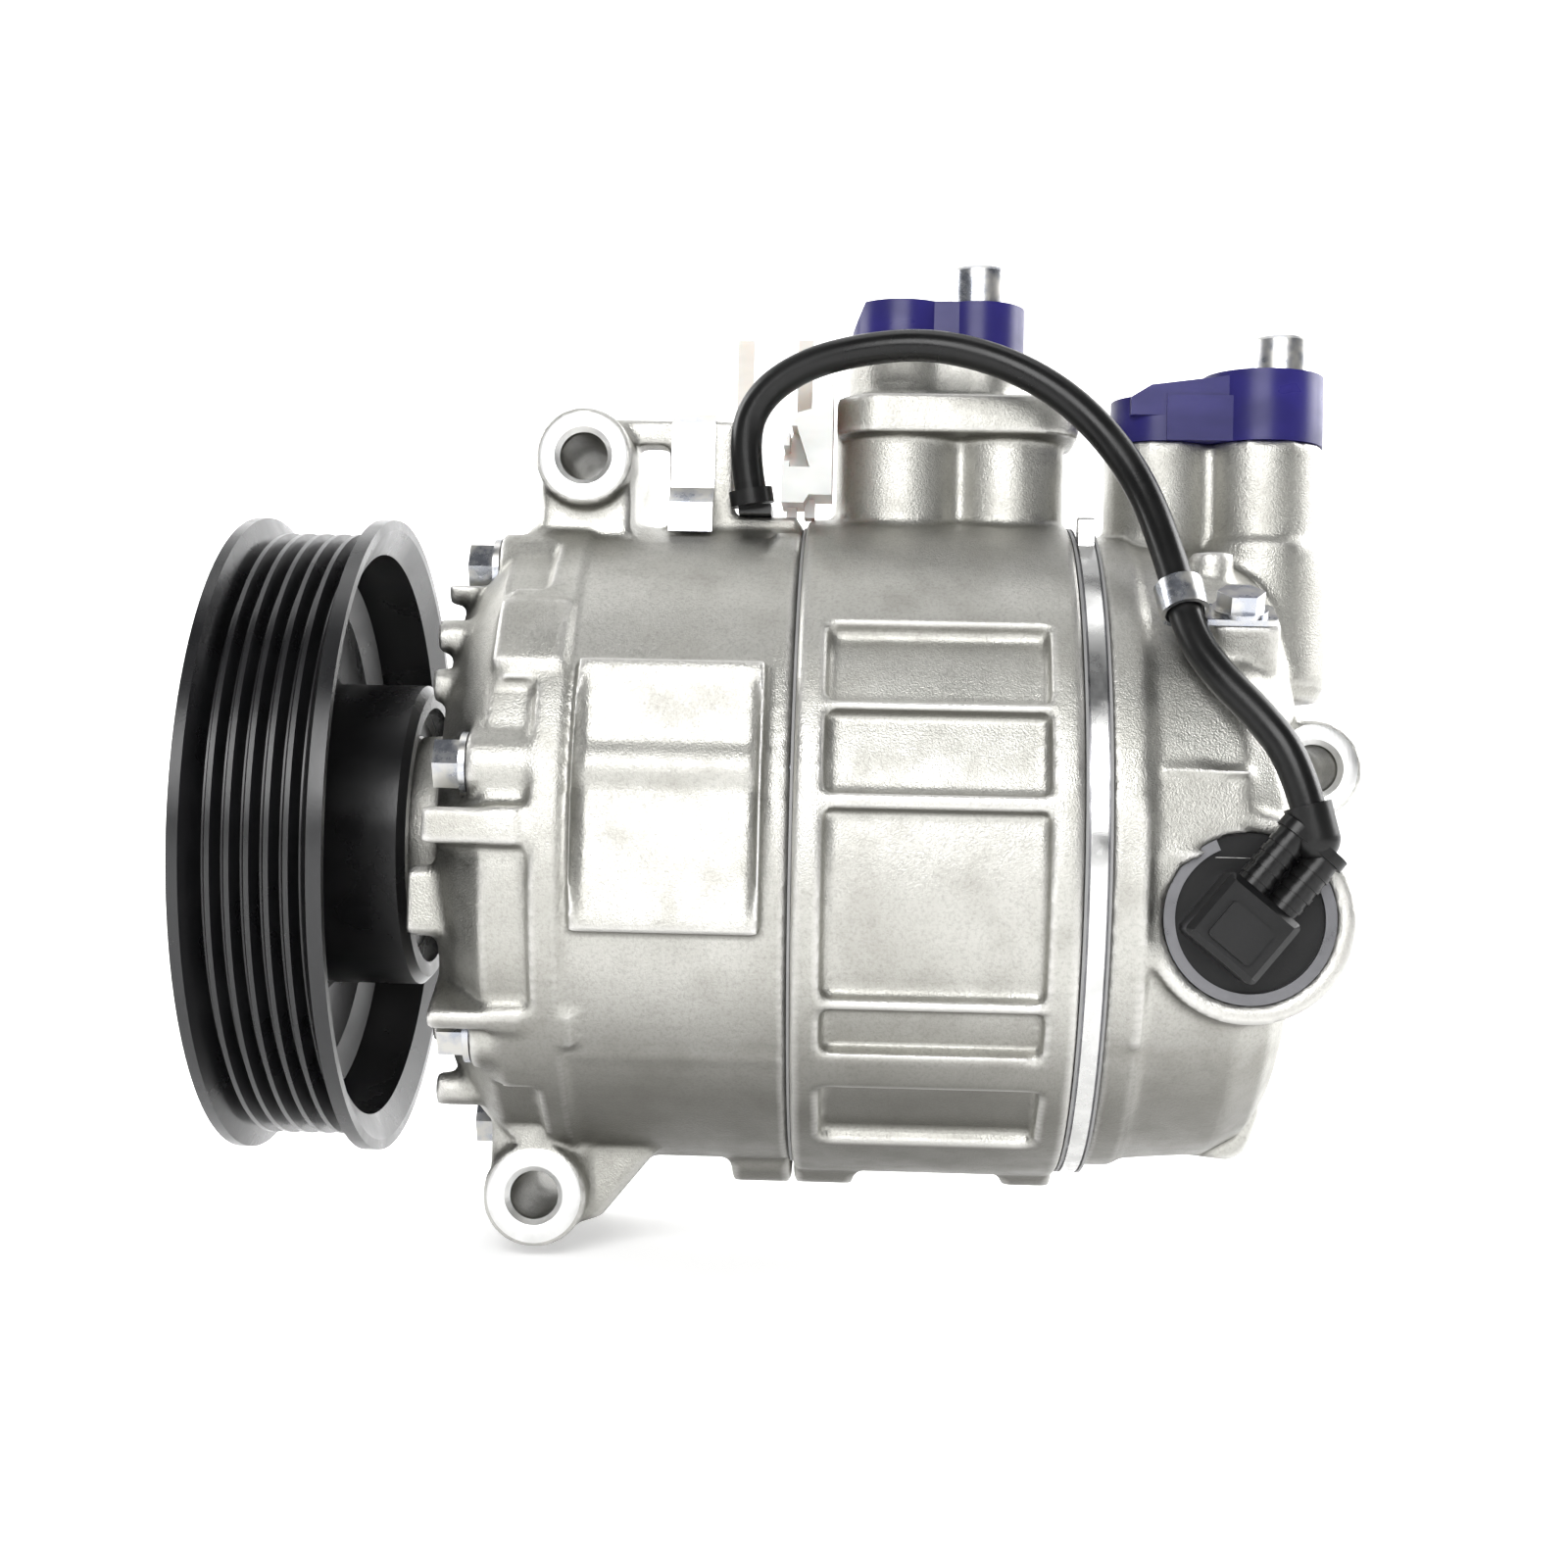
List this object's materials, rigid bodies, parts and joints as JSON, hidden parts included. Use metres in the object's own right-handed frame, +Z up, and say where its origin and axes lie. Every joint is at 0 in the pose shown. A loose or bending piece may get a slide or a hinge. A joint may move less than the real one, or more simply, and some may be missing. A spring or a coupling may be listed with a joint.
{
  "type": "automotive air conditioning compressor",
  "caption": "Clutchless swash-plate air conditioning compressor with grooved belt pulley, port towers under blue shipping caps, side control valve and clipped lead.",
  "frame": {"origin": "on the shaft axis, in the middle plane of the belt", "axes": "+X along the shaft from the pulley to the rear head, +Z up through the port towers, -Y the side with the control valve"},
  "size_m": [0.2269, 0.1354, 0.1943],
  "materials": {
    "cast_aluminium": "satin bead-blasted casting",
    "pulley_black": "satin black electrocoat",
    "machined_steel": "ground",
    "spring_steel": "oiled spring steel",
    "zinc_steel": "clear zinc plate",
    "gasket_grey": "rubber-coated steel sheet",
    "rubber_black": "satin rubber",
    "plastic_black": "moulded",
    "plastic_white": "natural moulded plastic",
    "cap_blue": "moulded",
    "piston_aluminium": "coated",
    "valve_brass": "turned"
  },
  "bodies": {
    "housing": {"bearing_inner_ring": "machined_steel", "bearing_snap_ring": "spring_steel", "block_gasket": "gasket_grey", "clip_screw": "zinc_steel", "connector_spring": "zinc_steel", "control_lead": "rubber_black", "control_valve_body": "valve_brass", "control_valve_coil": "plastic_black", "cylinder_block": "cast_aluminium", "discharge_reeds": "spring_steel", "front_gasket": "gasket_grey", "front_housing": "cast_aluminium", "harness_connector": "plastic_white", "head_gasket": "gasket_grey", "latch_strips": "plastic_white", "lead_boot": "rubber_black", "lead_clip": "zinc_steel", "needle_cups": "machined_steel", "piston_1": "piston_aluminium", "piston_2": "piston_aluminium", "piston_3": "piston_aluminium", "piston_4": "piston_aluminium", "piston_5": "piston_aluminium", "piston_6": "piston_aluminium", "piston_7": "piston_aluminium", "piston_rings": "spring_steel", "plug_sleeves": "rubber_black", "rear_housing": "cast_aluminium", "seal_snap_ring": "spring_steel", "shaft_seal": "rubber_black", "shoes": "machined_steel", "suction_reeds": "spring_steel", "through_bolts": "zinc_steel", "thrust_bearing": "machined_steel", "valve_o_rings": "rubber_black", "valve_plate": "machined_steel", "valve_plug": "plastic_black", "valve_snap_ring": "spring_steel"},
    "drive": {"pulley": "pulley_black", "pulley_hub": "pulley_black", "rubber_dampers": "rubber_black", "limiter_hub": "pulley_black", "hub_nut": "zinc_steel", "bearing_outer_ring": "machined_steel", "bearing_seals": "rubber_black", "shaft": "machined_steel", "lug_plate": "machined_steel", "hinge_pin": "machined_steel", "swash_plate": "machined_steel", "tilt_spring": "spring_steel", "return_spring": "spring_steel", "spring_stop_ring": "spring_steel"},
    "ball_set": {"bearing_balls": "machined_steel", "bearing_cage": "plastic_black"},
    "needle_sets": {"needles": "machined_steel"},
    "valve_plunger": {"control_valve_plunger": "valve_brass"},
    "discharge_cap_set": {"discharge_cap": "cap_blue", "discharge_cap_screw": "zinc_steel"},
    "suction_cap_set": {"suction_cap": "cap_blue", "suction_cap_screw": "zinc_steel"}
  },
  "joints": [
    {"name": "pulley_spin", "type": "hinge", "parent": "housing", "child": "drive", "pos_m": [0, 0, 0], "axis": [1, 0, 0], "continuous": true},
    {"name": "ball_set_spin", "type": "hinge", "parent": "housing", "child": "ball_set", "pos_m": [0, 0, 0], "axis": [1, 0, 0], "continuous": true},
    {"name": "needle_spin", "type": "hinge", "parent": "housing", "child": "needle_sets", "pos_m": [0, 0, 0], "axis": [1, 0, 0], "continuous": true},
    {"name": "valve_plunger_slide", "type": "slide", "parent": "housing", "child": "valve_plunger", "axis": [0, -1, 0], "range_m": [0, 0.0008], "stiffness_N_per_m": 1500, "springref_m": -0.002},
    {"name": "discharge_cap_lift", "type": "slide", "parent": "housing", "child": "discharge_cap_set", "axis": [0, 0, 1], "range_m": [0, 0.03]},
    {"name": "suction_cap_lift", "type": "slide", "parent": "housing", "child": "suction_cap_set", "axis": [0, 0, 1], "range_m": [0, 0.03]}
  ],
  "couplings": [
    {"joint": "ball_set_spin", "follows": "pulley_spin", "ratio": 0.55517},
    {"joint": "needle_spin", "follows": "pulley_spin", "ratio": 0.42593}
  ]
}
